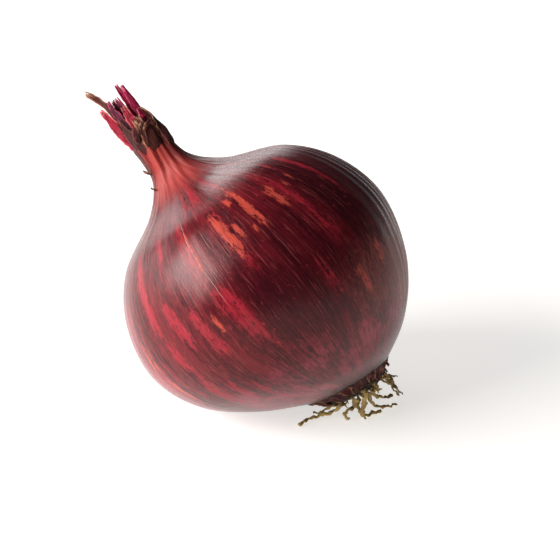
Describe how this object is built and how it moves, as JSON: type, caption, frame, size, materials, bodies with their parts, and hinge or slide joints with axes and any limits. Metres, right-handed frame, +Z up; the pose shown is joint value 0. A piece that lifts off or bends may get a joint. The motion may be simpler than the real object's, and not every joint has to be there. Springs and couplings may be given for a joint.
{
  "type": "onion",
  "caption": "Whole red onion with a glossy papery skin, a dried neck with torn leaf ends and dried roots, lying tilted on a small flat spot.",
  "frame": {"origin": "middle of the bottom of the whole onion's box, on the surface it rests on", "axes": "+Z up; +X toward the side where the root end lies low, so the neck points up, toward -X and a little toward +Y; +Y toward the back"},
  "size_m": [0.0862, 0.0788, 0.0858],
  "materials": {
    "skin": "gloss",
    "cork": "matte",
    "straw": "matte",
    "husk": "matte",
    "blush": "satin",
    "wine": "satin"
  },
  "bodies": {
    "root": {"bulb": "skin", "collar_back": "husk", "collar_behind": "husk", "collar_front": "husk", "collar_left": "husk", "curled_leaf_end": "husk", "neck_flake": "husk", "pink_leaf_end_left": "blush", "pink_leaf_end_right": "blush", "red_leaf_end": "blush", "root_01": "straw", "root_02": "straw", "root_03": "straw", "root_04": "straw", "root_05": "straw", "root_06": "straw", "root_07": "straw", "root_08": "straw", "root_09": "straw", "root_10": "straw", "root_11": "straw", "root_12": "straw", "root_13": "straw", "root_14": "straw", "root_15": "straw", "root_16": "straw", "root_17": "straw", "root_18": "straw", "root_19": "straw", "root_20": "straw", "root_21": "straw", "root_plate": "cork", "wine_leaf_end": "wine", "wine_leaf_end_back": "wine"}
  },
  "joints": []
}
